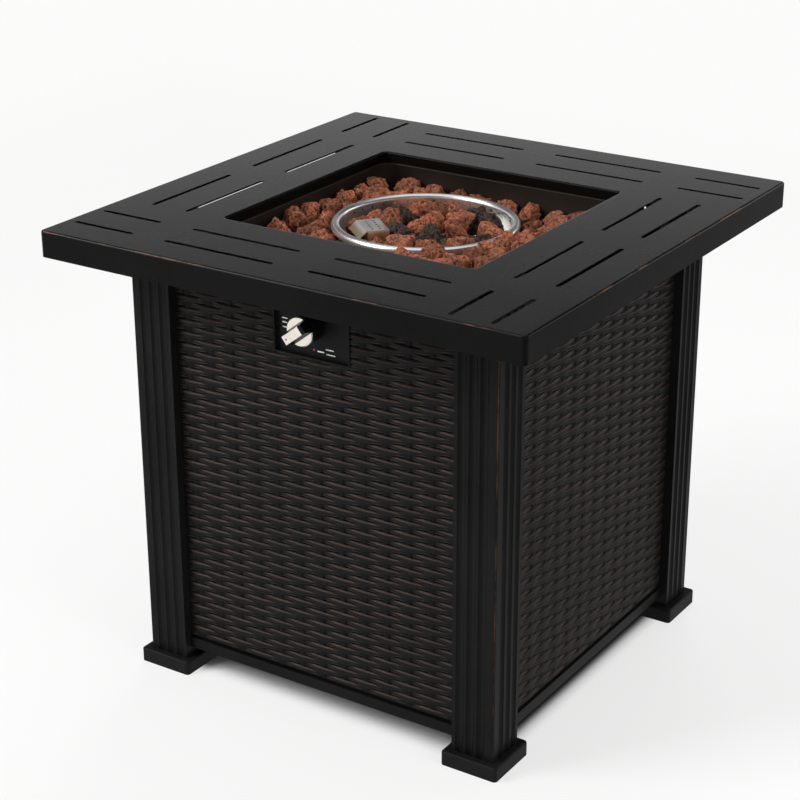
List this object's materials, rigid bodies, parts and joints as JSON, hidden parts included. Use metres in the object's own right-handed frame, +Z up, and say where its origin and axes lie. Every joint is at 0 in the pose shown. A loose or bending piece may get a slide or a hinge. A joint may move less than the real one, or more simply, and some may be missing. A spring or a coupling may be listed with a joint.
{
  "type": "gas fire pit table",
  "caption": "Square patio fire table with a slotted top, fluted posts, wicker-pressed sides, a tank door and a round burner bowl set in lava rock.",
  "frame": {"origin": "on the floor under the middle of the table", "axes": "+Z up, the side with the control knob faces -Y, the tank door faces +Y"},
  "size_m": [0.711, 0.711, 0.635],
  "materials": {
    "top_coat": "matte charcoal powder coat, rubbed to copper brown along the edges",
    "post_coat": "satin black powder coat with a rubbed corner",
    "wicker_coat": "pressed wicker sheet, black with bronze brushed over the strands",
    "rail_coat": "dark grey powder coat",
    "foot_plastic": "moulded dark grey plastic",
    "pan_enamel": "heat-proof matt black enamel, sooted brown",
    "stainless": "bright brushed stainless steel",
    "burner_steel": "plain stainless steel",
    "brass": "machined brass",
    "tube_aluminium": "drawn aluminium tube",
    "probe_ceramic": "white glazed ceramic",
    "probe_copper": "copper sheath",
    "lava_rock": "porous red brown lava rock",
    "zinc_steel": "zinc plated steel",
    "plate_coat": "satin black",
    "knob_chrome": "chrome plated",
    "black_plastic": "moulded black plastic"
  },
  "bodies": {
    "table": {"tabletop": "top_coat", "burner_pan": "pan_enamel", "burner_bowl": "stainless", "burner_ring": "burner_steel", "burner_stub": "brass", "burner_locknut": "brass", "burner_elbow": "brass", "air_mixer": "burner_steel", "gas_jet": "brass", "gas_tube": "tube_aluminium", "igniter_shield": "stainless", "igniter_bracket": "burner_steel", "ignition_electrode": "probe_ceramic", "thermocouple": "probe_copper", "lava_rocks_pan": "lava_rock", "lava_rocks_bowl": "lava_rock", "post_front_right": "post_coat", "post_back_right": "post_coat", "post_back_left": "post_coat", "post_front_left": "post_coat", "foot_front_right": "foot_plastic", "foot_back_right": "foot_plastic", "foot_back_left": "foot_plastic", "foot_front_left": "foot_plastic", "rail_front": "rail_coat", "rail_right": "rail_coat", "rail_back": "rail_coat", "rail_left": "rail_coat", "front_panel": "wicker_coat", "right_panel": "wicker_coat", "left_panel": "wicker_coat", "bracket_front_right": "rail_coat", "bracket_back_right": "rail_coat", "bracket_back_left": "rail_coat", "bracket_front_left": "rail_coat", "tank_tray": "rail_coat", "hinge_leaf_upper": "zinc_steel", "hinge_leaf_lower": "zinc_steel", "hinge_pin_upper": "zinc_steel", "hinge_pin_lower": "zinc_steel", "door_magnet": "black_plastic", "control_plate": "plate_coat", "valve_body": "brass", "valve_inlet": "brass"},
    "valve_plug": {"valve_plug": "brass"},
    "knob": {"control_knob": "knob_chrome", "valve_stem": "burner_steel"},
    "door": {"access_door": "wicker_coat", "door_pull": "black_plastic", "door_leaf_upper": "zinc_steel", "door_leaf_lower": "zinc_steel", "door_strike": "zinc_steel"}
  },
  "joints": [
    {"name": "knob_turn", "type": "hinge", "parent": "table", "child": "valve_plug", "pos_m": [0, -0.246, 0.5475], "axis": [0, -1, 0], "range_deg": [-128, 52]},
    {"name": "knob_push", "type": "slide", "parent": "valve_plug", "child": "knob", "axis": [0, 1, 0], "range_m": [0, 0.004], "stiffness_N_per_m": 500, "springref_m": -0.002},
    {"name": "door_hinge", "type": "hinge", "parent": "table", "child": "door", "pos_m": [-0.211, 0.2685, 0.3], "axis": [0, 0, 1], "range_deg": [0, 110]}
  ]
}
